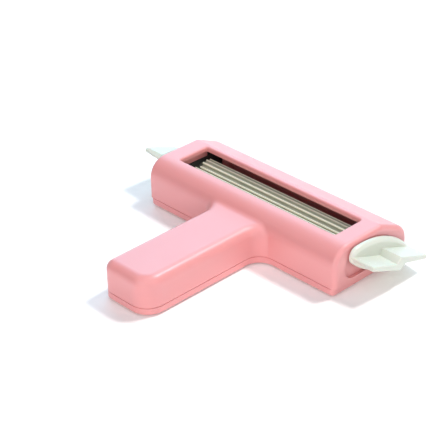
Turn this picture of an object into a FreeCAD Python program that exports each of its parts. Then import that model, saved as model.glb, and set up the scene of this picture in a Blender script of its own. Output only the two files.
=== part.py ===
# Paper crimper: a T-shaped case with two meshing ribbed rollers, turned by a winged knob at either end.
# Millimetres. X runs along the rollers, the handle reaches towards -Y, and Z is up.
# The origin is on the table below the middle of the case, halfway from the handle's end to the housing's back.
# Everything is drawn from the nip between the rollers, and each finished piece is then set down from there.
import FreeCAD, Part
import math
import os
import Sketcher

vec = FreeCAD.Vector
NEAR = 0.001  # two faces nearer than this are level
doc = FreeCAD.newDocument("paper_crimper")

# Driving sizes: name, value in millimetres unless said otherwise, meaning
SIZES = [
    # Case
    ("case_front", 24.7, "nip to the front face of the housing"),
    ("case_back", 29.4, "nip to the back face of the housing"),
    ("case_top", 27.0, "table to the top of the housing"),
    ("foot_height", 1.0, "table to the underside of the case"),
    ("seam_height", 5.0, "table to the seam between the two case halves"),
    ("end_inset", 1.0, "lower case stands back from the housing's end"),
    ("end_space", 0.7, "last clip to the inside of the housing's end wall"),
    ("wall", 2.2, "case wall"),
    ("floor_thickness", 2.0, "floor of the lower case"),
    ("front_round", 10.5, "radius along the housing's front top"),
    ("back_round", 10.0, "radius along the housing's back top"),
    ("back_slope", 24.5, "fall of the top behind the opening, degrees"),
    ("slope_start", 10.2, "nip to where that fall starts"),
    ("end_round", 2.6, "radius round the housing's ends"),
    ("base_chamfer", 0.6, "chamfer along the underside"),
    # Handle
    ("handle_width", 31.6, "handle across"),
    ("handle_reach", 101.0, "nip to the end of the handle"),
    ("handle_top", 21.6, "table to the top of the handle"),
    ("left_corner", 5.2, "handle's left end corner in plan"),
    ("right_corner", 10.5, "handle's right end corner in plan"),
    ("handle_edge", 5.0, "radius along the handle's top edge"),
    ("neck_round", 9.0, "radius where the handle meets the housing, in plan"),
    ("neck_bite", 0.4, "how far that radius runs into the housing"),
    ("blend_round", 4.0, "hollow radius where the handle's top meets the housing"),
    ("seam_gap", 0.35, "height of the shadow gap along the seam"),
    ("seam_depth", 0.4, "depth of that gap"),
    # Paper opening, end recess and entry slot
    ("opening_over", 1.3, "paper opening beyond each end of a roller"),
    ("opening_front", 12.2, "nip to the front edge of the paper opening"),
    ("opening_back", 7.4, "nip to the back edge of the paper opening"),
    ("opening_corner", 1.2, "corners of the paper opening"),
    ("opening_edge", 1.2, "radius round the top of the paper opening"),
    ("lip_wall", 1.6, "wall that hangs round the paper opening"),
    ("lip_depth", 2.6, "depth of that wall below the top"),
    ("recess_depth", 1.8, "recess in the housing's end, behind the knob"),
    ("recess_height", 13.8, "table to the middle of that recess"),
    ("recess_half_height", 6.9, "half the height of that recess"),
    ("recess_half_reach", 17.7, "half the width of that recess"),
    ("slot_front", 10.0, "nip to the front edge of the entry slot"),
    ("slot_back", 4.0, "nip to the back edge of the entry slot"),
    ("slot_lead", 1.2, "round on the entry slot's front edge"),
    # Rollers and axles
    ("roller_spacing", 12.1, "distance between the two roller axes"),
    ("axle_height", 13.8, "table to the roller axes"),
    ("roller_length", 108.0, "ribbed length of a roller"),
    ("rib_tip", 6.5, "radius over the ribs"),
    ("rib_root", 5.25, "radius between the ribs"),
    ("rib_tip_width", 0.9, "rib width at the tip"),
    ("rib_base_width", 1.7, "rib width at the root"),
    ("rib_tip_round", 0.6, "radius over a rib's tip"),
    ("rib_bite", 0.4, "how far a rib runs into the roller's core"),
    ("rib_count", 14.0, "ribs round a roller"),
    ("axle_radius", 2.5, "axle"),
    ("running_gap", 0.05, "radial play of an axle in its bush"),
    ("seat_gap", 0.02, "radial play of pressed seats"),
    ("end_play", 0.05, "play along the axle on each side of a spacer"),
    # Bushes, bearing plates, spacers and clips
    ("bush_wall", 1.45, "wall of a bush"),
    ("flange_wall", 1.2, "bush flange beyond the bush"),
    ("flange_thickness", 0.8, "bush flange along the axle"),
    ("plate_thickness", 3.5, "bearing plate along the axle"),
    ("plate_margin", 2.1, "bearing plate above its bores"),
    ("plate_corner", 2.0, "corners of the bearing plate"),
    ("plate_gap", 0.3, "bearing plate to the lip and ribs round it"),
    ("plate_seat", 0.1, "bearing plate under its rib"),
    ("rib_inset", 0.5, "rib over the bearing plate, in from the plate's faces"),
    ("rib_reach", 10.0, "ribs to either side of the nip"),
    ("rib_overlap", 0.6, "end rib below the top of the bearing plate"),
    ("upstand_thickness", 1.0, "upstands that locate the bearing plate on the floor"),
    ("spacer_wall", 1.6, "spacer ring outside its bore"),
    ("clip_thickness", 0.7, "retaining clip along the axle"),
    ("clip_wall", 1.9, "retaining clip outside its groove"),
    ("clip_mouth", 3.0, "gap in the retaining clip"),
    ("groove_depth", 0.5, "clip groove in the axle"),
    ("clip_gap", 0.1, "clip to the bush flange and in its groove"),
    ("axle_end", 0.4, "axle beyond the clip"),
    # Winged knobs
    ("knob_half_width", 23.0, "winged knob, half of its long axis"),
    ("knob_half_height", 8.9, "winged knob, half of its short axis"),
    ("knob_end_round", 4.8, "radius at the tips of the knob's oval"),
    ("knob_gap", 1.0, "housing end to the knob"),
    ("knob_plate", 2.6, "thickness of the knob's oval"),
    ("knob_edge", 2.5, "radius round the knob's oval"),
    ("knob_reach", 12.4, "wings beyond the oval"),
    ("root_half_span", 22.8, "axis to the end of a wing at its root"),
    ("root_low", 0.3, "wing root, inner face from the middle"),
    ("root_high", 3.4, "wing root, outer face from the middle"),
    ("root_step", 1.6, "half of the step between the wings at the root"),
    ("root_bevel", 2.3, "corner of a wing's end at the root"),
    ("crest_half_span", 21.0, "axis to the end of a wing at its outer edge"),
    ("crest_low", 1.0, "outer edge at its end, inner face from the middle"),
    ("crest_high", 3.3, "outer edge at its end, outer face from the middle"),
    ("heart_low", 0.1, "outer edge at the step, inner face from the middle"),
    ("heart_high", 3.5, "outer edge at the step, outer face from the middle"),
    ("heart_foot", 3.9, "outer edge, foot of the step between the wings"),
    ("heart_head", 1.1, "outer edge, head of that step"),
    ("wing_edge", 0.5, "bevel down the wings' ends and round on their outer edge"),
    ("crown_rise", 0.9, "how far the wings' outer edge bows"),
    ("knob_hub", 5.2, "radius of the knob's hub in the recess"),
    ("hub_gap", 0.4, "recess floor to the knob's hub"),
    ("knob_bore", 3.9, "depth of the axle in the knob"),
    ("flat_depth", 0.6, "flat on the axle's ends"),
    ("knob_turn", -21.0, "rest turn of the knobs about the rear axle, degrees"),
    ("hub_clearance", 0.7, "rear axle in the housing's end wall"),
    # Screws and feet
    ("boss_radius", 4.0, "screw boss"),
    ("boss_bite", 1.6, "how far a boss runs into its wall"),
    ("boss_gap", 0.2, "screw boss to bearing plate"),
    ("screw_radius", 1.25, "screw shank"),
    ("screw_length", 10.0, "screw under its head"),
    ("screw_head", 2.5, "screw head radius"),
    ("screw_head_height", 1.7, "screw head"),
    ("counterbore", 2.1, "depth of the counterbore under the case"),
    ("screw_gap", 0.2, "screw head in its counterbore, shank in the lower case"),
    ("drive_slot", 0.8, "width of the cross in the screw head"),
    ("drive_reach", 1.6, "arm of that cross"),
    ("drive_depth", 1.0, "depth of that cross"),
    ("thread_gap", 0.03, "screw shank in its hole"),
    ("near_screw", 24.8, "housing's front face to the handle's first screw"),
    ("far_screw", 12.0, "handle's foot to the handle's second screw"),
    ("foot_radius", 4.0, "rubber foot"),
    ("foot_recess", 0.6, "depth of a foot in the case"),
    ("foot_gap", 0.1, "rubber foot in its recess"),
    ("foot_end", 21.5, "housing feet from the housing's ends"),
    ("foot_side", 7.6, "housing feet from its front and back"),
    ("foot_tip", 8.7, "handle's foot from the handle's end"),
    # Paper guide
    ("guide_radius", 8.0, "curve that turns the sheet upwards"),
    ("guide_face", 1.0, "nip to the guide's face"),
    ("guide_drop", 3.8, "roller axes to the middle of that curve"),
    ("guide_start", 60.0, "where the guide's curve starts, degrees below level"),
    ("guide_end", 15.0, "where the guide's curve ends, degrees below level"),
    ("guide_lip", 1.5, "guide's thickness at its top"),
    ("guide_flange", 1.5, "thickness of the guide's flange"),
    ("guide_flange_width", 5.0, "guide's flange behind the slot"),
    ("guide_gap", 0.3, "guide in the entry slot"),
    ("cut_past", 1.0, "how far a cut runs past the face it opens"),
]


# A size knows its value and the expression that a feature is bound to
class Size:
    def __init__(self, value, text):
        self.value = float(value)
        self.text = text

    def mix(self, other, sign, result):
        return Size(result, f"({self.text} {sign} {wrap(other).text})")

    def __add__(self, other):
        return self.mix(other, "+", self.value + wrap(other).value)

    def __radd__(self, other):
        return wrap(other) + self

    def __sub__(self, other):
        return self.mix(other, "-", self.value - wrap(other).value)

    def __rsub__(self, other):
        return wrap(other) - self

    def __mul__(self, other):
        return self.mix(other, "*", self.value * wrap(other).value)

    def __rmul__(self, other):
        return wrap(other) * self

    def __truediv__(self, other):
        return self.mix(other, "/", self.value / wrap(other).value)

    def __neg__(self):
        return Size(-self.value, f"(0 - {self.text})")


def wrap(number):
    return number if isinstance(number, Size) else Size(number, repr(float(number)))


def root(size):
    return Size(math.sqrt(size.value), f"sqrt({size.text})")


def sine(angle):
    return Size(math.sin(math.radians(angle.value)), f"sin({angle.text} * 1 deg)")


def cosine(angle):
    return Size(math.cos(math.radians(angle.value)), f"cos({angle.text} * 1 deg)")


def tangent(angle):
    return sine(angle) / cosine(angle)


class Sizes:
    """The spreadsheet's sizes by name."""


S = Sizes()
table = doc.addObject("Spreadsheet::Sheet", "sizes")
for row, (alias, number, meaning) in enumerate(SIZES, start=1):
    table.set(f"A{row}", meaning)
    table.set(f"B{row}", str(number))
    table.setAlias(f"B{row}", alias)
    setattr(S, alias, Size(number, f"sizes.{alias}"))
doc.recompute()


# Binding and placing
def bind(feature, name, size):
    feature.setExpression(name, wrap(size).text)


def move(item, x=None, y=None, z=None):
    for axis, size in (("x", x), ("y", y), ("z", z)):
        if size is not None:
            item.setExpression(f"Placement.Base.{axis}", wrap(size).text)


def new_body(name):
    body = doc.addObject("PartDesign::Body", name)
    body.Label = name
    return body


def origin_item(body, role):
    return next(item for item in body.Origin.OriginFeatures if item.Role == role)


# Sketches: each point is held by its distances from the sketch's origin
def new_sketch(body, name, plane, lift=None):
    sketch = body.newObject("Sketcher::SketchObject", name)
    sketch.AttachmentSupport = [(origin_item(body, plane), "")]
    sketch.MapMode = "FlatFace"
    if lift is not None:
        sketch.setExpression("AttachmentOffset.Base.z", wrap(lift).text)
    return sketch


def hold(sketch, geometry, point, place):
    for kind, size in zip(("DistanceX", "DistanceY"), place):
        number = sketch.addConstraint(Sketcher.Constraint(kind, -1, 1, geometry, point, wrap(size).value))
        sketch.setExpression(f"Constraints[{number}]", wrap(size).text)


def hold_radius(sketch, geometry, size):
    number = sketch.addConstraint(Sketcher.Constraint("Radius", geometry, wrap(size).value))
    sketch.setExpression(f"Constraints[{number}]", wrap(size).text)


def add_circle(sketch, place, radius):
    centre = vec(wrap(place[0]).value, wrap(place[1]).value, 0)
    circle = sketch.addGeometry(Part.Circle(centre, vec(0, 0, 1), wrap(radius).value), False)
    hold(sketch, circle, 3, place)
    hold_radius(sketch, circle, radius)


def arc_between(start, end, radius, left):
    """Arc shorter than a half circle; left tells on which side of start to end its centre lies."""
    middle = (start + end) * 0.5
    chord = end - start
    rise = math.sqrt(max(radius * radius - chord.Length * chord.Length / 4, 0.0))
    side = vec(-chord.y, chord.x, 0).normalize() * (rise if left else -rise)
    centre = middle + side
    circle = Part.Circle(centre, vec(0, 0, 1), radius)
    first, last = (start, end) if left else (end, start)
    angles = [math.atan2(point.y - centre.y, point.x - centre.x) for point in (first, last)]
    return Part.ArcOfCircle(circle, angles[0], angles[1])


def outline(sketch, corners):
    """Closed outline. A corner is (u, v), or (u, v, radius, left) where an arc leaves it."""
    points = [vec(wrap(corner[0]).value, wrap(corner[1]).value, 0) for corner in corners]
    ends = []
    for index, corner in enumerate(corners):
        start, end = points[index], points[(index + 1) % len(points)]
        if len(corner) == 2:
            edge = sketch.addGeometry(Part.LineSegment(start, end), False)
            ends.append((edge, 1, 2))
        else:
            radius, left = corner[2], corner[3]
            edge = sketch.addGeometry(arc_between(start, end, wrap(radius).value, left), False)
            ends.append((edge, 1, 2) if left else (edge, 2, 1))
            hold_radius(sketch, edge, radius)
    for index, (edge, first, last) in enumerate(ends):
        following = ends[(index + 1) % len(ends)]
        sketch.addConstraint(Sketcher.Constraint("Coincident", edge, last, following[0], following[1]))
        hold(sketch, edge, first, corners[index][:2])


def rectangle(sketch, u0, u1, v0, v1):
    outline(sketch, [(u0, v0), (u1, v0), (u1, v1), (u0, v1)])


def rounded_rectangle(sketch, u0, u1, v0, v1, radius):
    outline(sketch, [
        (u0 + radius, v0), (u1 - radius, v0, radius, True),
        (u1, v0 + radius), (u1, v1 - radius, radius, True),
        (u1 - radius, v1), (u0 + radius, v1, radius, True),
        (u0, v1 - radius), (u0, v0 + radius, radius, True),
    ])


# Features
def pad(body, sketch, name, length, both_ways=False, back=False):
    feature = body.newObject("PartDesign::Pad", name)
    feature.Profile = sketch
    feature.Midplane = both_ways
    feature.Reversed = back
    bind(feature, "Length", length)
    sketch.Visibility = False
    return feature


def pocket(body, sketch, name, length, both_ways=False, back=False):
    doc.recompute()
    before = body.Shape.Volume
    feature = body.newObject("PartDesign::Pocket", name)
    feature.Profile = sketch
    feature.Midplane = both_ways
    feature.Reversed = back
    bind(feature, "Length", length)
    doc.recompute()
    if not body.Shape.Volume < before:
        raise RuntimeError(f"{name} cuts nothing")
    return feature


def dress(body, kind, name, size, chosen):
    """Fillet or chamfer on the edges of the body's last feature that chosen accepts."""
    doc.recompute()
    base = body.Tip
    edges = [f"Edge{number}" for number, edge in enumerate(base.Shape.Edges, start=1) if chosen(edge.BoundBox)]
    feature = body.newObject(f"PartDesign::{kind}", name)
    feature.Base = (base, edges)
    bind(feature, "Radius" if kind == "Fillet" else "Size", size)
    doc.recompute()
    return feature


def level(low, high, place):
    return abs(low - place) < NEAR and abs(high - place) < NEAR


def box(name, x0, x1, y0, y1, z0, z1):
    item = doc.addObject("Part::Box", name)
    bind(item, "Length", x1 - x0)
    bind(item, "Width", y1 - y0)
    bind(item, "Height", z1 - z0)
    move(item, x0, y0, z0)
    return item


def cylinder(name, radius, length, x, y, z, along_x=False):
    item = doc.addObject("Part::Cylinder", name)
    if along_x:
        item.Placement = FreeCAD.Placement(vec(0, 0, 0), FreeCAD.Rotation(vec(0, 1, 0), 90))
    bind(item, "Radius", radius)
    bind(item, "Height", length)
    move(item, x, y, z)
    return item


def fuse(name, items):
    item = doc.addObject("Part::MultiFuse", name)
    item.Shapes = items
    return item


def cut(name, base, tool):
    item = doc.addObject("Part::Cut", name)
    item.Base = base
    item.Tool = tool
    return item


def group(name, items):
    item = doc.addObject("Part::Compound", name)
    item.Label = name
    item.Links = items
    return item


def mirrored(name, source):
    item = doc.addObject("Part::Mirroring", name)
    item.Source = source
    item.Normal = vec(1, 0, 0)
    return item


# Finished pieces: drawn about the nip or about their own axis, and set down from the origin
subparts = []
middle = wrap(0.0)
nip = (S.handle_reach - S.case_back) / 2


def keep(item, name, y=middle, z=middle, turn=None):
    item.Label = name
    if turn is not None:
        item.Placement = FreeCAD.Placement(vec(0, 0, 0), FreeCAD.Rotation(vec(1, 0, 0), 1))
        item.setExpression("Placement.Rotation.Angle", f"{wrap(turn).text} * 1 deg")
    move(item, y=nip + y, z=z)
    subparts.append(item)


def keep_both(kind, right):
    """A piece at the right end and its mirror image at the left, one node each."""
    keep(right, f"right_{kind}")
    left = mirrored(f"left_{kind}", right)
    left.Label = f"left_{kind}"
    subparts.append(left)


# Places that several pieces share
roller_end = S.roller_length / 2
half_opening = roller_end + S.opening_over
rear_axis = S.roller_spacing / 2
front_axis = -rear_axis
floor_top = S.foot_height + S.floor_thickness
plate_inner = half_opening + S.lip_wall + S.plate_gap
plate_outer = plate_inner + S.plate_thickness
flange_outer = plate_outer + S.flange_thickness
clip_inner = flange_outer + S.clip_gap
clip_outer = clip_inner + S.clip_thickness
cavity_end = clip_outer + S.end_space
recess_floor = cavity_end + S.wall
half_case = recess_floor + S.recess_depth
bush_radius = S.axle_radius + S.running_gap + S.bush_wall
plate_top = S.axle_height + bush_radius + S.plate_margin
boss_front = -(S.case_front - S.wall - S.boss_radius + S.boss_bite)
boss_back = S.case_back - S.wall - S.boss_radius + S.boss_bite
boss_x = plate_inner + S.plate_thickness / 2
knob_back = half_case + S.knob_gap
knob_face = knob_back + S.knob_plate
hub_start = recess_floor + S.hub_gap
axle_tip = hub_start + S.knob_bore
screw_seat = S.foot_height + S.counterbore
screw_tip = screw_seat + S.screw_length
handle_foot_row = -S.handle_reach + S.foot_tip
foot_rows = (-S.case_front + S.foot_side, S.case_back - S.foot_side)
plate_front = boss_front + S.boss_radius + S.boss_gap
plate_back = boss_back - S.boss_radius - S.boss_gap

SCREWS = {
    "housing": [(side * boss_x, row) for row in (boss_front, boss_back) for side in (-1, 1)],
    "handle": [(middle, -S.case_front - S.near_screw), (middle, handle_foot_row + S.far_screw)],
}
FEET = {
    "housing": [(side * (half_case - S.foot_end), row) for row in foot_rows for side in (-1, 1)],
    "handle": [(middle, handle_foot_row)],
}


# Section of the housing across the rollers, drawn set in by a wall or not at all
def housing_section(sketch, inset, bottom):
    run = S.case_back - S.back_round + S.back_round * sine(S.back_slope) - S.slope_start
    back_centre = S.case_top - run * tangent(S.back_slope) - S.back_round * cosine(S.back_slope)
    back_radius = S.back_round - inset
    front_radius = S.front_round - inset
    back_centre_y = S.case_back - S.back_round
    outline(sketch, [
        (-S.case_front + inset, bottom),
        (S.case_back - inset, bottom),
        (S.case_back - inset, back_centre, back_radius, True),
        (back_centre_y + back_radius * sine(S.back_slope), back_centre + back_radius * cosine(S.back_slope)),
        (S.slope_start - inset * tangent(S.back_slope / 2), S.case_top - inset),
        (-S.case_front + S.front_round, S.case_top - inset, front_radius, True),
        (-S.case_front + inset, S.case_top - S.front_round),
    ])


# Plan of the handle alone, closed inside the housing
def handle_plan(sketch):
    half = S.handle_width / 2
    left = S.left_corner
    right = S.right_corner
    neck = S.neck_round
    join = -S.case_front + S.neck_bite
    inside = -S.case_front + S.front_round
    outline(sketch, [
        (-half + left, -S.handle_reach),
        (half - right, -S.handle_reach, right, True),
        (half, -S.handle_reach + right),
        (half, join - neck, neck, False),
        (half + neck, join),
        (half + neck, inside),
        (-half - neck, inside),
        (-half - neck, join, neck, False),
        (-half, join - neck),
        (-half, -S.handle_reach + left, left, True),
    ])


# Plan of the hollow in the handle
def handle_hollow_plan(sketch):
    half = S.handle_width / 2 - S.wall
    left = S.left_corner - S.wall
    right = S.right_corner - S.wall
    reach = -S.handle_reach + S.wall
    end = -S.case_front
    outline(sketch, [
        (-half + left, reach),
        (half - right, reach, right, True),
        (half, reach + right),
        (half, end),
        (-half, end),
        (-half, reach + left, left, True),
    ])


# Plan of the whole case, drawn set in or not at all
def tee_plan(sketch, half_length, inset):
    half = S.handle_width / 2 - inset
    left = S.left_corner - inset
    right = S.right_corner - inset
    reach = -S.handle_reach + inset
    neck = S.neck_round + inset
    turn = S.end_round - inset
    front = -S.case_front + inset
    back = S.case_back - inset
    end = half_length - inset
    outline(sketch, [
        (-half + left, reach),
        (half - right, reach, right, True),
        (half, reach + right),
        (half, front - neck, neck, False),
        (half + neck, front),
        (end - turn, front, turn, True),
        (end, front + turn),
        (end, back - turn, turn, True),
        (end - turn, back),
        (-end + turn, back, turn, True),
        (-end, back - turn),
        (-end, front + turn, turn, True),
        (-end + turn, front),
        (-half - neck, front, neck, False),
        (-half, front - neck),
        (-half, reach + left, left, True),
    ])


# Upper case, outer form: handle and housing in one moulding
def upper_form():
    body = new_body("upper_form")
    plan = new_sketch(body, "handle_plan", "XY_Plane", S.seam_height)
    handle_plan(plan)
    pad(body, plan, "handle_block", S.handle_top - S.seam_height)
    dress(body, "Fillet", "handle_top_round", S.handle_edge,
          lambda bounds: level(bounds.ZMin, bounds.ZMax, S.handle_top.value))
    section = new_sketch(body, "housing_section", "YZ_Plane")
    housing_section(section, middle, S.seam_height)
    pad(body, section, "housing_block", 2 * half_case, both_ways=True)
    dress(body, "Fillet", "handle_blend", S.blend_round,
          lambda bounds: bounds.ZMin > (S.handle_top - S.handle_edge).value - NEAR
          and bounds.YMin > -S.case_front.value - NEAR
          and bounds.YMax < (S.front_round - S.case_front).value - NEAR)
    dress(body, "Fillet", "housing_end_round", S.end_round,
          lambda bounds: level(abs(bounds.XMin), abs(bounds.XMax), half_case.value)
          and bounds.ZMax > S.seam_height.value + NEAR)
    plan = new_sketch(body, "opening_plan", "XY_Plane", S.case_top)
    rounded_rectangle(plan, -half_opening, half_opening, -S.opening_front, S.opening_back, S.opening_corner)
    pocket(body, plan, "paper_opening", S.lip_depth + S.cut_past)
    dress(body, "Fillet", "opening_round", S.opening_edge,
          lambda bounds: level(bounds.ZMin, bounds.ZMax, S.case_top.value)
          and max(abs(bounds.XMin), abs(bounds.XMax)) < half_opening.value + NEAR
          and bounds.YMin > -S.opening_front.value - NEAR
          and bounds.YMax < S.opening_back.value + NEAR)
    return body


# Hollows of the upper case, open at the seam
def upper_hollows():
    bottom = S.seam_height - S.cut_past
    housing = new_body("housing_hollow")
    section = new_sketch(housing, "hollow_section", "YZ_Plane")
    housing_section(section, S.wall, bottom)
    pad(housing, section, "housing_hollow_block", 2 * cavity_end, both_ways=True)
    handle = new_body("handle_hollow")
    plan = new_sketch(handle, "handle_hollow_plan", "XY_Plane", bottom)
    handle_hollow_plan(plan)
    ceiling = S.handle_top - S.wall
    pad(handle, plan, "handle_hollow_block", ceiling - bottom)
    dress(handle, "Fillet", "handle_hollow_round", S.handle_edge - S.wall,
          lambda bounds: level(bounds.ZMin, bounds.ZMax, ceiling.value))
    return [housing, handle]


# What stands inside the upper case at its right end: bosses, ribs over and beside the bearing plate
def upper_fittings():
    rib_start = plate_inner + S.rib_inset
    items = [
        box("plate_rib", rib_start, plate_outer - S.rib_inset,
            -S.rib_reach, S.rib_reach, plate_top + S.plate_seat, S.case_top),
        box("end_rib", plate_outer + S.plate_gap, half_case,
            -S.rib_reach, S.rib_reach, plate_top - S.rib_overlap, S.case_top),
    ]
    return items + [mirrored(f"{item.Name}_left", item) for item in items]


def bosses(name):
    places = SCREWS["housing"] + SCREWS["handle"]
    return [cylinder(f"{name}_{number}", S.boss_radius, S.case_top, x, y, middle)
            for number, (x, y) in enumerate(places)]


# Oblong recess behind the knob, and the hole for the rear axle in its floor
def end_cuts():
    depth = S.recess_depth + S.cut_past
    reach = S.recess_half_reach - S.recess_half_height
    bottom = S.recess_height - S.recess_half_height
    recess = [box("recess_middle", recess_floor, recess_floor + depth,
                  -reach, reach, bottom, bottom + 2 * S.recess_half_height)]
    for number, place in enumerate((-reach, reach)):
        recess.append(cylinder(f"recess_end_{number}", S.recess_half_height, depth,
                               recess_floor, place, S.recess_height, along_x=True))
    hole = cylinder("axle_hole", S.axle_radius + S.hub_clearance, S.wall + 2 * S.cut_past,
                    cavity_end - S.cut_past, rear_axis, S.axle_height, along_x=True)
    right = fuse("end_cut", recess + [hole])
    return [right, mirrored("end_cut_left", right)]


def upper_case():
    lip = box("opening_lip", -half_opening - S.lip_wall, half_opening + S.lip_wall,
              -S.opening_front - S.lip_wall, S.opening_back + S.lip_wall,
              S.case_top - S.lip_depth, S.case_top)
    standing = fuse("upper_standing", [lip] + upper_fittings() + bosses("upper_boss"))
    hollow = cut("upper_hollow", fuse("upper_hollow_blocks", upper_hollows()), standing)
    places = SCREWS["housing"] + SCREWS["handle"]
    holes = [cylinder(f"pilot_hole_{number}", S.screw_radius + S.thread_gap, screw_tip + S.cut_past,
                      x, y, middle) for number, (x, y) in enumerate(places)]
    removed = fuse("upper_removed", [hollow] + end_cuts() + holes)
    keep(cut("upper_case", upper_form(), removed), "upper_case")


# Lower case: a shallow tray with the entry slot, bosses, counterbores and foot recesses
def lower_form():
    body = new_body("lower_form")
    half_length = half_case - S.end_inset
    plan = new_sketch(body, "lower_plan", "XY_Plane", S.foot_height)
    tee_plan(plan, half_length, middle)
    pad(body, plan, "lower_block", S.seam_height - S.seam_gap - S.foot_height)
    dress(body, "Chamfer", "base_edge", S.base_chamfer,
          lambda bounds: level(bounds.ZMin, bounds.ZMax, S.foot_height.value))
    rim = new_sketch(body, "seam_plan", "XY_Plane", S.foot_height + S.base_chamfer)
    tee_plan(rim, half_length, S.seam_depth)
    pad(body, rim, "seam_rim", S.seam_height - S.foot_height - S.base_chamfer)
    return body


def handle_tray():
    body = new_body("handle_tray")
    plan = new_sketch(body, "handle_tray_plan", "XY_Plane", floor_top)
    handle_hollow_plan(plan)
    pad(body, plan, "handle_tray_block", S.seam_height - floor_top + S.cut_past)
    return body


def entry_slot():
    body = new_body("entry_slot")
    section = new_sketch(body, "slot_section", "YZ_Plane")
    outline(section, [
        (-S.slot_front - S.slot_lead, S.foot_height - S.cut_past),
        (S.slot_back, S.foot_height - S.cut_past),
        (S.slot_back, floor_top + S.cut_past),
        (-S.slot_front, floor_top + S.cut_past),
        (-S.slot_front, S.foot_height + S.slot_lead, S.slot_lead, True),
        (-S.slot_front - S.slot_lead, S.foot_height),
    ])
    pad(body, section, "slot_block", 2 * half_opening, both_ways=True)
    return body


def lower_case():
    inside = half_case - S.end_inset - S.wall
    tray = fuse("tray_blocks", [
        box("housing_tray", -inside, inside, -S.case_front + S.wall, S.case_back - S.wall,
            floor_top, S.seam_height + S.cut_past),
        handle_tray(),
    ])
    upstands = []
    starts = (plate_inner - S.plate_gap - S.upstand_thickness, plate_outer + S.plate_gap)
    for number, start in enumerate(starts):
        upstands.append(box(f"upstand_{number}", start, start + S.upstand_thickness,
                            plate_front, plate_back, S.foot_height, S.seam_height))
    upstands += [mirrored(f"{item.Name}_left", item) for item in upstands]
    hollow = cut("tray_hollow", tray, fuse("tray_standing", upstands + bosses("lower_boss")))
    removed = [hollow, entry_slot()]
    for number, (x, y) in enumerate(SCREWS["housing"] + SCREWS["handle"]):
        removed.append(cylinder(f"counterbore_{number}", S.screw_head + S.screw_gap, screw_seat, x, y, middle))
        removed.append(cylinder(f"screw_hole_{number}", S.screw_radius + S.screw_gap,
                                S.seam_height + S.cut_past, x, y, middle))
    for number, (x, y) in enumerate(FEET["housing"] + FEET["handle"]):
        removed.append(cylinder(f"foot_recess_{number}", S.foot_radius + S.foot_gap,
                                S.foot_height + S.foot_recess, x, y, middle))
    keep(cut("lower_case", lower_form(), fuse("lower_removed", removed)), "lower_case")


# Screws and feet
def screws(name, places):
    items = []
    for number, (x, y) in enumerate(places):
        bottom = screw_seat - S.screw_head_height
        head = cylinder(f"{name}_head_{number}", S.screw_head, S.screw_head_height, x, y, bottom)
        shank = cylinder(f"{name}_shank_{number}", S.screw_radius, S.screw_length + S.screw_head_height,
                         x, y, bottom)
        half, reach, top = S.drive_slot / 2, S.drive_reach, bottom + S.drive_depth
        slots = [
            box(f"{name}_slot_{number}", x - reach, x + reach, y - half, y + half, bottom, top),
            box(f"{name}_cross_{number}", x - half, x + half, y - reach, y + reach, bottom, top),
        ]
        solid = fuse(f"{name}_solid_{number}", [head, shank])
        items.append(cut(f"{name}_{number}", solid, fuse(f"{name}_drive_{number}", slots)))
    keep(group(name, items), name)


def feet(name, places):
    height = S.foot_height + S.foot_recess
    items = [cylinder(f"{name}_{number}", S.foot_radius, height, x, y, middle)
             for number, (x, y) in enumerate(places)]
    keep(group(name, items), name)


# Paper guide: a strip in the entry slot whose hollow face turns the sheet up into the nip
def paper_guide():
    body = new_body("paper_guide")
    section = new_sketch(body, "guide_section", "YZ_Plane")
    centre_y = -S.guide_radius + S.guide_face
    centre_z = S.axle_height - S.guide_drop
    foot_y = centre_y + S.guide_radius * cosine(S.guide_start)
    head_y = centre_y + S.guide_radius * cosine(S.guide_end)
    foot_z = centre_z - S.guide_radius * sine(S.guide_start)
    head_z = centre_z - S.guide_radius * sine(S.guide_end)
    bottom = S.foot_height + S.guide_gap
    outline(section, [
        (foot_y, bottom),
        (S.slot_back - S.guide_gap, bottom),
        (S.slot_back - S.guide_gap, floor_top),
        (S.slot_back + S.guide_flange_width, floor_top),
        (S.slot_back + S.guide_flange_width, floor_top + S.guide_flange),
        (head_y + S.guide_lip, floor_top + S.guide_flange),
        (head_y + S.guide_lip, head_z),
        (head_y, head_z, S.guide_radius, False),
        (foot_y, foot_z),
    ])
    pad(body, section, "guide_strip", S.roller_length, both_ways=True)
    keep(body, "paper_guide")


# Rollers and axles are drawn about the X axis
def roller(name, place, turn):
    body = new_body(name)
    core = new_sketch(body, f"{name}_core", "YZ_Plane")
    add_circle(core, (middle, middle), S.rib_root)
    pad(body, core, f"{name}_core_block", S.roller_length, both_ways=True)
    rib = new_sketch(body, f"{name}_rib", "YZ_Plane")
    base, tip = S.rib_base_width / 2, S.rib_tip_width / 2
    shoulder = S.rib_tip - S.rib_tip_round + root(S.rib_tip_round * S.rib_tip_round - tip * tip)
    outline(rib, [
        (S.rib_root - S.rib_bite, -base),
        (S.rib_root, -base),
        (shoulder, -tip, S.rib_tip_round, True),
        (shoulder, tip),
        (S.rib_root, base),
        (S.rib_root - S.rib_bite, base),
    ])
    first = pad(body, rib, f"{name}_rib_block", S.roller_length, both_ways=True)
    pattern = body.newObject("PartDesign::PolarPattern", f"{name}_ribs")
    pattern.Originals = [first]
    pattern.Axis = (origin_item(body, "X_Axis"), [""])
    pattern.Angle = 360
    bind(pattern, "Occurrences", S.rib_count)
    body.Tip = pattern
    bore = new_sketch(body, f"{name}_bore", "YZ_Plane")
    add_circle(bore, (middle, middle), S.axle_radius + S.seat_gap)
    pocket(body, bore, f"{name}_bore_cut", S.roller_length + 2 * S.cut_past, both_ways=True)
    keep(body, name, place, S.axle_height, turn)


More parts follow.
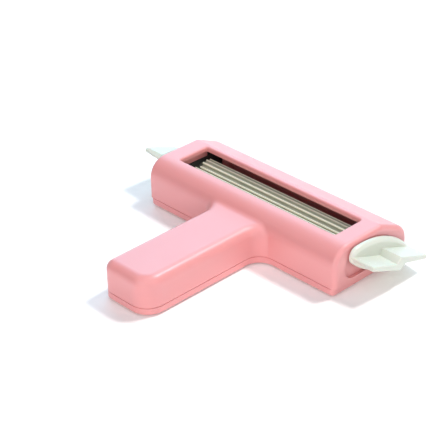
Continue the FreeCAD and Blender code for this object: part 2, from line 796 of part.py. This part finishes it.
def axle(name, place, half_length, turn=None):
    body = new_body(name)
    profile = new_sketch(body, f"{name}_profile", "XY_Plane")
    radius, groove = S.axle_radius, S.axle_radius - S.groove_depth
    start, end = clip_inner - S.clip_gap, clip_outer + S.clip_gap
    outline(profile, [
        (-half_length, middle), (half_length, middle), (half_length, radius), (end, radius),
        (end, groove), (start, groove), (start, radius), (-start, radius),
        (-start, groove), (-end, groove), (-end, radius), (-half_length, radius),
    ])
    turned = body.newObject("PartDesign::Revolution", f"{name}_turned")
    turned.Profile = profile
    turned.ReferenceAxis = (profile, ["H_Axis"])
    turned.Angle = 360
    profile.Visibility = False
    if turn is not None:
        reach = radius + S.cut_past
        for side in (-1, 1):
            flat = new_sketch(body, f"{name}_flat_{side + 1}", "YZ_Plane", side * half_length)
            rectangle(flat, -reach, reach, radius - S.flat_depth, reach)
            pocket(body, flat, f"{name}_flat_cut_{side + 1}", half_length - hub_start, back=side < 0)
    keep(body, name, place, S.axle_height, turn)


# Rings on an axle: each is a right-hand piece and its mirror image
def ring(name, outer, inner, x0, x1, place):
    solid = cylinder(f"{name}_solid", outer, x1 - x0, x0, place, S.axle_height, along_x=True)
    bore = cylinder(f"{name}_bore", inner, x1 - x0 + 2 * S.cut_past, x0 - S.cut_past, place,
                    S.axle_height, along_x=True)
    return cut(f"{name}_right", solid, bore)


def pair(name, right):
    keep(group(name, [right, mirrored(f"{name}_left", right)]), name)


def spacers(name, place):
    bore = S.axle_radius + S.running_gap
    pair(name, ring(name, bore + S.spacer_wall, bore, roller_end + S.end_play, plate_inner - S.end_play, place))


def clips(name, place):
    groove = S.axle_radius - S.groove_depth
    whole = ring(name, groove + S.clip_wall, groove + S.running_gap, clip_inner, clip_outer, place)
    mouth = box(f"{name}_mouth", clip_inner - S.cut_past, clip_outer + S.cut_past,
                place - S.clip_mouth / 2, place + S.clip_mouth / 2,
                S.axle_height - groove - S.clip_wall - S.cut_past, S.axle_height)
    pair(name, cut(f"{name}_open", whole, mouth))


def bushes(row, place):
    bore = S.axle_radius + S.running_gap
    sleeve = cylinder(f"{row}_sleeve", bush_radius, flange_outer - plate_inner, plate_inner, place,
                      S.axle_height, along_x=True)
    flange = cylinder(f"{row}_flange", bush_radius + S.flange_wall, S.flange_thickness, plate_outer, place,
                      S.axle_height, along_x=True)
    hole = cylinder(f"{row}_bush_bore", bore, flange_outer - plate_inner + 2 * S.cut_past,
                    plate_inner - S.cut_past, place, S.axle_height, along_x=True)
    right = cut(f"{row}_right_bush", fuse(f"{row}_bush_solid", [sleeve, flange]), hole)
    keep_both(f"{row}_bush", right)


def bearing_plates():
    body = new_body("right_bearing_plate")
    face = new_sketch(body, "plate_face", "YZ_Plane", plate_inner)
    rounded_rectangle(face, plate_front, plate_back, floor_top, plate_top, S.plate_corner)
    pad(body, face, "plate_block", S.plate_thickness)
    bores = new_sketch(body, "plate_bores", "YZ_Plane", plate_outer)
    for place in (front_axis, rear_axis):
        add_circle(bores, (place, S.axle_height), bush_radius + S.seat_gap)
    pocket(body, bores, "plate_bore_cut", S.plate_thickness)
    keep_both("bearing_plate", body)


# Winged knob: an oval plate with a hub, and two wings set off from each other by a step.
# The left one is the same moulding turned round: side is +1 on the right and -1 on the left.
def oval(sketch):
    a, b, end = S.knob_half_width, S.knob_half_height, S.knob_end_round
    flank = (a * a + b * b - 2 * a * end) / (2 * (b - end))
    u = (a - end) + end * (a - end) / (flank - end)
    v = end * (flank - b) / (flank - end)
    outline(sketch, [
        (u, -v, end, True),
        (u, v, flank, True),
        (-u, v, end, True),
        (-u, -v, flank, True),
    ])


# One section through both wings: each end is (half span, inner face, outer face, corner),
# and the step between them runs from one (across, up) to the other
def wings(sketch, side, end, step_foot, step_head):
    span, low, high, corner = end
    edge = S.wing_edge
    half = [
        (-step_head[0], -step_head[1]), step_foot, (span - edge, low), (span, low + edge),
        (span, high - corner), (span - corner, high),
    ]
    outline(sketch, [(side * u, v) for u, v in half] + [(-side * u, -v) for u, v in half])


def knob(name, side):
    right = side > 0
    body = new_body(name)
    plate = new_sketch(body, f"{name}_oval", "YZ_Plane", side * knob_back)
    oval(plate)
    pad(body, plate, f"{name}_plate", S.knob_plate, back=not right)
    dress(body, "Fillet", f"{name}_plate_round", S.knob_edge,
          lambda bounds: level(bounds.XMin, bounds.XMax, side * knob_face.value))
    start, end = knob_face - S.knob_edge, knob_face + S.knob_reach + S.cut_past
    low = new_sketch(body, f"{name}_wing_root", "YZ_Plane", side * start)
    wings(low, side, (S.root_half_span, S.root_low, S.root_high, S.root_bevel),
          (S.root_step, S.root_low), (-S.root_step, S.root_high))
    high = new_sketch(body, f"{name}_wing_tip", "YZ_Plane", side * end)
    wings(high, side, (S.crest_half_span, S.crest_low, S.crest_high, S.wing_edge),
          (S.heart_foot, S.heart_low), (-S.heart_head, S.heart_high))
    loft = body.newObject("PartDesign::AdditiveLoft", f"{name}_wings")
    loft.Profile = low
    loft.Sections = [high]
    loft.Ruled = True
    low.Visibility = False
    high.Visibility = False
    crown = new_sketch(body, f"{name}_crown", "XY_Plane")
    reach, rise = S.knob_half_width, S.crown_rise
    radius = (reach * reach + rise * rise) / (2 * rise)
    edge = side * (knob_face + S.knob_reach - rise)
    past = side * (end + S.cut_past)
    outline(crown, [
        (edge, -reach, radius, right),
        (edge, reach),
        (past, reach),
        (past, -reach),
    ])
    pocket(body, crown, f"{name}_crown_cut", 4 * S.root_high, both_ways=True)
    dress(body, "Fillet", f"{name}_crown_round", S.wing_edge,
          lambda bounds: min(side * bounds.XMin, side * bounds.XMax) > side * edge.value - NEAR)
    hub = new_sketch(body, f"{name}_hub", "YZ_Plane", side * hub_start)
    add_circle(hub, (middle, middle), S.knob_hub)
    pad(body, hub, f"{name}_hub_block", knob_back + S.knob_plate / 2 - hub_start, back=not right)
    bore = new_sketch(body, f"{name}_bore", "YZ_Plane", side * hub_start)
    radius = S.axle_radius + S.seat_gap
    flat = radius - S.flat_depth
    half = root(radius * radius - flat * flat)
    outline(bore, [
        (-half, flat),
        (half, flat, radius, False),
        (middle, -radius, radius, False),
    ])
    pocket(body, bore, f"{name}_bore_cut", S.knob_bore + S.clip_gap, back=right)
    keep(body, name, rear_axis, S.axle_height, S.knob_turn)


# Building
upper_case()
lower_case()
paper_guide()
half_pitch = wrap(180.0) / S.rib_count
roller("front_roller", front_axis, middle)
roller("rear_roller", rear_axis, half_pitch)
axle("front_axle", front_axis, clip_outer + S.axle_end)
axle("rear_axle", rear_axis, axle_tip, S.knob_turn)
bearing_plates()
for row, place in (("front", front_axis), ("rear", rear_axis)):
    bushes(row, place)
    spacers(f"{row}_spacers", place)
    clips(f"{row}_axle_clips", place)
knob("right_knob", 1)
knob("left_knob", -1)
for group_name, places in SCREWS.items():
    screws(f"{group_name}_screws", places)
feet("housing_feet", FEET["housing"])
feet("handle_foot", FEET["handle"])
doc.recompute()

# Checks, then one file per piece
for item in doc.Objects:
    if "Invalid" in item.State or "Error" in item.State:
        raise RuntimeError(f"{item.Label} did not compute: {item.State}")
os.makedirs("parts", exist_ok=True)
for item in subparts:
    if item.Shape.isNull() or not item.Shape.isValid() or not item.Shape.Solids:
        raise RuntimeError(f"{item.Label} has no valid solid")
    item.Shape.exportStep(f"parts/{item.Label}.step")
    print(item.Label, len(item.Shape.Solids), round(item.Shape.Volume, 1))
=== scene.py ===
# %% [markdown]
# # A paper crimper, dressed for its picture
# The tool is a T: a pink case with a handle, two ribbed rollers under a long opening, and a mint white
# winged knob at either end. The solid model already has every shape at its real size, so this notebook adds
# what a solid model lacks: finishes, rubber feet with softer forms, a floor, light and a camera.
# All lengths are metres. X runs along the rollers, the handle points to -Y, and Z is up from the table.

# %% Load the solid model
import bpy
import bmesh
import math
from mathutils import Matrix, Vector


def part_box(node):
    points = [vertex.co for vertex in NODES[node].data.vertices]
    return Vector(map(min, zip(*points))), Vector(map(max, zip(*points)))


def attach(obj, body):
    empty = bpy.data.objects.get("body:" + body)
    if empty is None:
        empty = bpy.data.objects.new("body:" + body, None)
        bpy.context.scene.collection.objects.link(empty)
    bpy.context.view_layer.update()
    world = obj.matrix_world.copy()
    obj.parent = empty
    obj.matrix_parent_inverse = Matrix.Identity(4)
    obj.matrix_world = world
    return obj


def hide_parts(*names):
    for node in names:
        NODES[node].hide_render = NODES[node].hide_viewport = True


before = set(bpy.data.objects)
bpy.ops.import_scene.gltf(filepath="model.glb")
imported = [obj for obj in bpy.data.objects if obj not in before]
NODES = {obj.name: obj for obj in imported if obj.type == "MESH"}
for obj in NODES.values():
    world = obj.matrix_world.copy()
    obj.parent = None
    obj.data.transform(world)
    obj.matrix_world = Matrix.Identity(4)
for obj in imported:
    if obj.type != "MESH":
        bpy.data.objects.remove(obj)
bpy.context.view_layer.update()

MM = 0.001
print("pieces in the solid model:", len(NODES))

# %% [markdown]
# ## Where things are
# The rollers' axes and the nip between them come back again and again, so they are read once from the boxes
# of the solids instead of being typed in.

# %% Read the main places
front_low, front_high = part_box("front_axle")
rear_low, rear_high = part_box("rear_axle")
FRONT_AXIS = (front_low + front_high) / 2
REAR_AXIS = (rear_low + rear_high) / 2
NIP = (FRONT_AXIS.y + REAR_AXIS.y) / 2
print("nip at y =", round(NIP, 5), "axes at z =", round(FRONT_AXIS.z, 5))

# %% [markdown]
# ## Camera
# The photograph looks down on the tool from the front right with a long lens, which keeps the case's long
# edges almost parallel. The camera's place and turn were worked out from the case's straight edges.
# The focal length is given in pixels of the photograph, and the lens wants it in millimetres of its sensor.

# %% Place the camera
CAMERA_PLACE = Vector((0.47488, NIP - 0.48685, 0.41205))
CAMERA_YAW = math.radians(46.341)
CAMERA_DROP = math.radians(30.902)
CAMERA_ROLL = math.radians(-1.296)
FOCAL_PIXELS = 1518.91
PHOTO_PIXELS = 448
SENSOR_WIDTH = 36

lens = bpy.data.cameras.new("view")
lens.sensor_width = SENSOR_WIDTH
lens.lens = SENSOR_WIDTH * FOCAL_PIXELS / PHOTO_PIXELS
camera = bpy.data.objects.new("view", lens)
bpy.context.scene.collection.objects.link(camera)
turn = Matrix.Rotation(CAMERA_YAW, 4, "Z") @ Matrix.Rotation(math.pi / 2 - CAMERA_DROP, 4, "X")
camera.matrix_world = Matrix.Translation(CAMERA_PLACE) @ turn @ Matrix.Rotation(CAMERA_ROLL, 4, "Z")
bpy.context.scene.camera = camera
print("lens:", round(lens.lens, 1), "mm")

# %% [markdown]
# ## Floor and light
# A plain pale floor carries the tool. The shadow beside the right-hand knob is short and falls forward, so
# the main light is high, behind the tool and a little to its right. A wide cool panel behind the tool is
# mirrored by the faces that look up and turns them lilac. A softer cool panel overhead carries that tone onto
# the rounded edges, and warm low panels in front keep the upright faces salmon. The picture's tones are left
# as the light gives them, so white stays white.

# %% Lay the floor
FLOOR_SIZE = 6.0

bpy.ops.mesh.primitive_plane_add(size=FLOOR_SIZE, location=(0, 0, 0))
floor = bpy.context.object
floor.name = "floor"


# %% Hang the lights
def panel(name, direction, distance, size, watts, colour):
    """A square softbox that hangs in a direction from the tool and faces it."""
    light = bpy.data.lights.new(name, "AREA")
    light.shape = "SQUARE"
    light.size = size
    light.energy = watts
    light.color = colour
    holder = bpy.data.objects.new(name, light)
    bpy.context.scene.collection.objects.link(holder)
    away = Vector(direction).normalized()
    holder.location = Vector((0, NIP, 0)) + away * distance
    holder.rotation_euler = away.to_track_quat("Z", "Y").to_euler()
    print(name, "hangs at", [round(part, 2) for part in holder.location])


panel("main_light", (0.25, 0.5, 1.0), distance=1.2, size=0.20, watts=10, colour=(1.0, 0.985, 0.96))
panel("overhead", (0.3, -0.5, 1.0), distance=1.5, size=1.4, watts=7, colour=(0.86, 0.91, 1.0))
panel("back_sheen", (-0.72, 0.72, 0.60), distance=1.4, size=1.3, watts=16, colour=(0.52, 0.80, 1.0))
panel("low_front", (0.35, -1.0, 0.25), distance=1.3, size=1.0, watts=8.5, colour=(1.0, 0.84, 0.78))
panel("low_right", (1.0, -0.2, 0.35), distance=1.3, size=0.9, watts=2.8, colour=(1.0, 0.92, 0.88))

# %% Fill the room
ROOM_COLOUR = (0.97, 0.97, 1.0, 1)
ROOM_STRENGTH = 0.15

world = bpy.data.worlds.new("studio")
bpy.context.scene.world = world
world.use_nodes = True
background = world.node_tree.nodes["Background"]
background.inputs["Color"].default_value = ROOM_COLOUR
background.inputs["Strength"].default_value = ROOM_STRENGTH
bpy.context.scene.view_settings.view_transform = "Standard"
print("room light:", ROOM_STRENGTH)

# %% [markdown]
# ## Writing finishes as sums
# A finish is a small network of nodes. Two helpers keep it readable. A Wire wraps one output, and adding or
# multiplying wires adds the Math nodes. A Finish is the material itself, and its node() adds any other
# node.


# %% Wires that add up
class Wire:
    """An output inside a finish. Sums and products of wires become Math nodes."""

    def __init__(self, finish, socket):
        self.finish = finish
        self.socket = socket

    def math(self, operation, *terms):
        return self.finish.node("ShaderNodeMath", {"operation": operation}, dict(enumerate(terms)))

    def __add__(self, other):
        return self.math("ADD", self, other)

    def __radd__(self, other):
        return self.math("ADD", other, self)

    def __sub__(self, other):
        return self.math("SUBTRACT", self, other)

    def __rsub__(self, other):
        return self.math("SUBTRACT", other, self)

    def __mul__(self, other):
        return self.math("MULTIPLY", self, other)

    def __rmul__(self, other):
        return self.math("MULTIPLY", other, self)

    def fade(self, start, end):
        """0 before start, 1 past end, and smooth between."""
        settings = {"interpolation_type": "SMOOTHSTEP"}
        values = {"Value": self, "From Min": start, "From Max": end, "To Min": 0.0, "To Max": 1.0}
        return self.finish.node("ShaderNodeMapRange", settings, values)


# %% The finish itself
class Finish:
    """One material: a Principled shader and the nodes that feed it."""

    def __init__(self, name, **fixed):
        self.material = bpy.data.materials.new(name)
        self.material.use_nodes = True
        self.tree = self.material.node_tree
        self.shader = self.tree.nodes["Principled BSDF"]
        for socket, value in fixed.items():
            self.shader.inputs[socket.replace("_", " ")].default_value = value
        self.place = self.node("ShaderNodeTexCoord", output="Object")

    def node(self, kind, settings=None, values=None, output=0):
        node = self.tree.nodes.new(kind)
        for name, value in (settings or {}).items():
            setattr(node, name, value)
        for name, value in (values or {}).items():
            if isinstance(value, Wire):
                self.tree.links.new(value.socket, node.inputs[name])
            else:
                node.inputs[name].default_value = value
        return Wire(self, node.outputs[output])

    def stretched(self, factors):
        """The place, squeezed or drawn out along each axis."""
        return self.node("ShaderNodeMapping", None, {"Vector": self.place, "Scale": factors})

    def noise(self, size, detail=2.0, where=None):
        """Soft random patches about as wide as size, from 0 to 1."""
        values = {"Vector": where or self.place, "Scale": 1 / size, "Detail": detail, "Roughness": 0.55}
        return self.node("ShaderNodeTexNoise", None, values)

    def blend(self, mask, first, second):
        """The first colour where the mask is 0, and the second where it is 1."""
        settings = {"data_type": "RGBA", "clamp_factor": True}
        return self.node("ShaderNodeMix", settings, {0: mask, 6: first, 7: second}, 2)

    def feed(self, socket, wire):
        """Lead a wire into a socket of the shader."""
        self.tree.links.new(wire.socket, self.shader.inputs[socket])

    def bump(self, height, depth):
        """height runs from 0 to 1, and depth is what 1 stands for."""
        values = {"Height": height, "Strength": 1.0, "Distance": depth}
        self.feed("Normal", self.node("ShaderNodeBump", None, values))


def paint(finish, *names):
    """Give a finish to solid nodes, in place of the plain one they came with."""
    for name in names:
        slots = NODES[name].data.materials
        slots.clear()
        slots.append(finish.material)
    print(finish.material.name, "on", len(names), "nodes")


# %% [markdown]
# ## Pink case
# The case is moulded in satin pink plastic with a very fine spark-eroded grain. Faces that look up read lilac
# and upright ones salmon, which is the light's doing: the plastic itself has one colour. Its tone wanders a
# little where the melt flowed, and hands have left faint rubbed patches that are a little glossier. A dull
# clear coat mirrors the cool panel behind the tool.


# %% Mix the pink plastic
def pink_plastic():
    finish = Finish("pink_plastic", IOR=1.5, Subsurface_Weight=0.06, Subsurface_Scale=2 * MM,
                    Specular_Tint=(0.75, 0.85, 1.0, 1), Coat_Weight=0.6, Coat_Roughness=0.5)
    flow = finish.noise(45 * MM, 2.0)
    grain = finish.noise(0.35 * MM, 3.0)
    rubbed = finish.noise(20 * MM, 3.0).fade(0.5, 0.7)
    hairs = finish.noise(1.2 * MM, 2.0, finish.stretched((0.12, 1.0, 1.0))).fade(0.68, 0.76)
    colour = finish.blend(flow, (0.76, 0.305, 0.305, 1), (0.80, 0.335, 0.335, 1))
    finish.feed("Base Color", colour)
    finish.feed("Roughness", 0.40 - 0.05 * rubbed + 0.05 * hairs + 0.04 * grain)
    finish.bump(grain - 0.4 * hairs, 0.012 * MM)
    return finish


pink = pink_plastic()
paint(pink, "upper_case", "lower_case")

# %% [markdown]
# ## Knobs
# The winged knobs are glossy and almost white, with a breath of mint. Light sinks a little way into them,
# which softens the shaded side of each wing.


# %% Mix the mint white plastic
def mint_plastic():
    finish = Finish("mint_plastic", IOR=1.5, Subsurface_Weight=0.12, Subsurface_Scale=2 * MM)
    flow = finish.noise(20 * MM, 2.0)
    orange_peel = finish.noise(1.6 * MM, 1.0)
    hairs = finish.noise(1 * MM, 2.0, finish.stretched((1.0, 0.15, 1.0))).fade(0.68, 0.78)
    finish.feed("Base Color", finish.blend(flow, (0.65, 0.69, 0.61, 1), (0.69, 0.73, 0.65, 1)))
    finish.feed("Roughness", 0.24 + 0.04 * flow + 0.10 * hairs)
    finish.bump(orange_peel - 0.5 * hairs, 0.006 * MM)
    return finish


mint = mint_plastic()
paint(mint, "right_knob", "left_knob")

# %% [markdown]
# ## Rollers
# The rollers are cream plastic with a green cast. Paper has polished their crests and left a little dust
# between the ribs. The valleys between the ribs are painted dark grey-green as painted shade, so the finish
# looks at how far a point is from its roller's axis.


# %% Mix the roller plastic
CREST_START, CREST_FULL = 5.9 * MM, 6.4 * MM
DUST_FULL, DUST_END = 5.2 * MM, 5.7 * MM
ACROSS_AXLE = (0, 1, 1)


def roller_plastic(name, axis):
    finish = Finish(name, IOR=1.5, Subsurface_Weight=0.08, Subsurface_Scale=2 * MM)
    middle = (0, axis.y, axis.z)
    offset = finish.node("ShaderNodeVectorMath", {"operation": "SUBTRACT"}, {0: finish.place, 1: middle})
    across = finish.node("ShaderNodeVectorMath", {"operation": "MULTIPLY"}, {0: offset, 1: ACROSS_AXLE})
    radius = finish.node("ShaderNodeVectorMath", {"operation": "LENGTH"}, {0: across}, "Value")
    # This mask makes the crests polished in the roughness and leaves painted shade in the valleys in the
    # colour.
    crest_polish_and_shade = radius.fade(CREST_START, CREST_FULL)
    dust = (1 - radius.fade(DUST_FULL, DUST_END)) * finish.noise(4 * MM, 3.0)
    # Painted shade: dark grey-green in the valleys between the ribs, cream on the crests.
    cream = finish.blend(crest_polish_and_shade, (0.42, 0.44, 0.33, 1), (0.88, 0.86, 0.70, 1))
    finish.feed("Base Color", finish.blend(dust * 0.5, cream, (0.78, 0.74, 0.64, 1)))
    streak = finish.noise(1.5 * MM, 2.0, finish.stretched((0.1, 1.0, 1.0)))
    finish.feed("Roughness", 0.42 - 0.12 * crest_polish_and_shade + 0.2 * dust + 0.05 * streak)
    finish.bump(streak, 0.01 * MM)
    return finish


paint(roller_plastic("front_roller_plastic", FRONT_AXIS), "front_roller")
paint(roller_plastic("rear_roller_plastic", REAR_AXIS), "rear_roller")

# %% [markdown]
# ## Plates, bushes and spacers
# What holds the rollers is plain moulded plastic: cream bushes, and plates and spacers painted near black and
# dark grey-green as painted shade for the shaded ends of the opening. It is seen only through the opening, so
# one recipe with its colours changed serves all of it, and the guide too.


# %% Mix the plain plastics
def plain_plastic(name, dark, light, rough):
    finish = Finish(name, IOR=1.49)
    flow = finish.noise(12 * MM, 2.0)
    grain = finish.noise(0.4 * MM, 3.0)
    finish.feed("Base Color", finish.blend(flow, dark, light))
    finish.feed("Roughness", rough + 0.06 * grain)
    finish.bump(grain, 0.015 * MM)
    return finish


# Painted shade: the bearing plates are near black for the shaded ends of the opening.
paint(plain_plastic("plate_plastic", (0.030, 0.032, 0.030, 1), (0.042, 0.045, 0.041, 1), 0.5),
      "right_bearing_plate", "left_bearing_plate")
paint(plain_plastic("bush_plastic", (0.74, 0.72, 0.64, 1), (0.80, 0.78, 0.71, 1), 0.36),
      "right_front_bush", "left_front_bush", "right_rear_bush", "left_rear_bush")
# Painted shade: the spacers are dark grey-green for the shaded ends of the opening.
paint(plain_plastic("spacer_plastic", (0.10, 0.12, 0.09, 1), (0.14, 0.16, 0.12, 1), 0.42),
      "front_spacers", "rear_spacers")
paint(plain_plastic("guide_plastic", (0.74, 0.34, 0.37, 1), (0.79, 0.37, 0.40, 1), 0.38), "paper_guide")

# %% [markdown]
# ## Steel
# The axles are ground rod, with fine rings left by the wheel. The clips are blued spring steel and the
# screws are plated. The rings are noise squeezed along the axle.


# %% Mix the steels
def steel(name, colour, rough, squeeze, size=0.8 * MM):
    finish = Finish(name, Metallic=1.0)
    rings = finish.noise(size, 3.0, finish.stretched(squeeze))
    stain = finish.noise(6 * MM, 3.0).fade(0.45, 0.75)
    darker = tuple(0.82 * share for share in colour[:3]) + (1,)
    finish.feed("Base Color", finish.blend(stain, colour, darker))
    finish.feed("Roughness", rough + 0.12 * rings + 0.08 * stain)
    finish.bump(rings, 0.004 * MM)
    return finish


paint(steel("axle_steel", (0.62, 0.62, 0.61, 1), 0.22, (1.0, 0.1, 0.1)), "front_axle", "rear_axle")
paint(steel("clip_steel", (0.23, 0.24, 0.27, 1), 0.34, (1.0, 1.0, 1.0)),
      "front_axle_clips", "rear_axle_clips")
plated = steel("plated_steel", (0.60, 0.60, 0.58, 1), 0.26, (1.0, 1.0, 0.3), 0.5 * MM)
paint(plated, "housing_screws", "handle_screws")

# %% [markdown]
# ## Rubber
# The feet are dark grey rubber, dull and slightly dusty.


# %% Mix the rubber
def rubber():
    finish = Finish("foot_rubber", IOR=1.52)
    bloom = finish.noise(3 * MM, 4.0)
    grain = finish.noise(0.3 * MM, 2.0)
    dusty = bloom.fade(0.4, 0.8)
    finish.feed("Base Color", finish.blend(dusty, (0.10, 0.095, 0.095, 1), (0.17, 0.16, 0.16, 1)))
    finish.feed("Roughness", 0.68 + 0.15 * bloom)
    finish.bump(grain, 0.03 * MM)
    return finish


foot_rubber = rubber()
paint(foot_rubber, "housing_feet", "handle_foot")

# %% [markdown]
# ## Rubber feet
# A moulded foot has a soft rim and a round hollow in its sole that grips the table. Each one is modelled from
# a disc: its sole is inset twice, the inner face is drawn up, and the edges are bevelled.

# %% Read the feet's size and places
foot_low, foot_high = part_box("handle_foot")
row_low, row_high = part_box("housing_feet")
FOOT_RADIUS = (foot_high.x - foot_low.x) / 2
FOOT_HEIGHT = foot_high.z - foot_low.z
SOLE_RIM = 1.0 * MM
SOLE_SLOPE = 0.5 * MM
SOLE_HOLLOW = 0.35 * MM
FOOT_BEVEL = 0.2 * MM
FOOT_SIDES = 64
BEVEL_STEPS = 3
LOOKS_DOWN = -0.9
SMOOTH_BELOW = math.radians(40)
print("foot radius", round(FOOT_RADIUS, 4), "height", round(FOOT_HEIGHT, 4))


# %% Model the feet
def model_foot(name, x, y, node):
    bpy.ops.object.select_all(action="DESELECT")
    middle = (x, y, foot_low.z + FOOT_HEIGHT / 2)
    bpy.ops.mesh.primitive_cylinder_add(
        vertices=FOOT_SIDES, radius=FOOT_RADIUS, depth=FOOT_HEIGHT, location=middle)
    foot = bpy.context.object
    foot.name = name
    bpy.ops.object.transform_apply(location=True, rotation=True, scale=True)
    bpy.ops.object.mode_set(mode="EDIT")
    bpy.ops.mesh.select_mode(type="FACE")
    bpy.ops.mesh.select_all(action="DESELECT")
    mesh = bmesh.from_edit_mesh(foot.data)
    for face in mesh.faces:
        face.select_set(face.normal.z < LOOKS_DOWN)
    bmesh.update_edit_mesh(foot.data)
    bpy.ops.mesh.inset(thickness=SOLE_RIM, depth=0)
    bpy.ops.mesh.inset(thickness=SOLE_SLOPE, depth=-SOLE_HOLLOW)
    bpy.ops.object.mode_set(mode="OBJECT")
    bevel = foot.modifiers.new("rim", "BEVEL")
    bevel.width = FOOT_BEVEL
    bevel.segments = BEVEL_STEPS
    bevel.limit_method = "ANGLE"
    bpy.ops.object.modifier_apply(modifier=bevel.name)
    bpy.ops.object.shade_smooth_by_angle(angle=SMOOTH_BELOW)
    foot.data.materials.append(foot_rubber.material)
    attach(foot, "case")
    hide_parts(node)
    print(name, "at", round(x, 4), round(y, 4))


model_foot("handle_rubber_foot", 0.0, (foot_low.y + foot_high.y) / 2, "handle_foot")
for side, x in (("left", row_low.x + FOOT_RADIUS), ("right", row_high.x - FOOT_RADIUS)):
    for row, y in (("front", row_low.y + FOOT_RADIUS), ("back", row_high.y - FOOT_RADIUS)):
        model_foot(f"{side}_{row}_rubber_foot", x, y, "housing_feet")

# %% [markdown]
# ## Floor finish
# The floor is matt and nearly white, so the tool's colours stand out. A faint glow of its own stands for the
# white room around it and keeps its shadows pale.

# %% Paint the floor
FLOOR_ROUGHNESS = 0.8
FLOOR_GLOW = 0.12

ground = Finish("floor_white")
cloud = ground.noise(300 * MM, 2.0)
ground.feed("Base Color", ground.blend(cloud, (0.90, 0.90, 0.90, 1), (0.92, 0.92, 0.92, 1)))
ground.shader.inputs["Roughness"].default_value = FLOOR_ROUGHNESS
ground.shader.inputs["Emission Color"].default_value = (1, 1, 1, 1)
ground.shader.inputs["Emission Strength"].default_value = FLOOR_GLOW
floor.data.materials.append(ground.material)
print("floor painted")
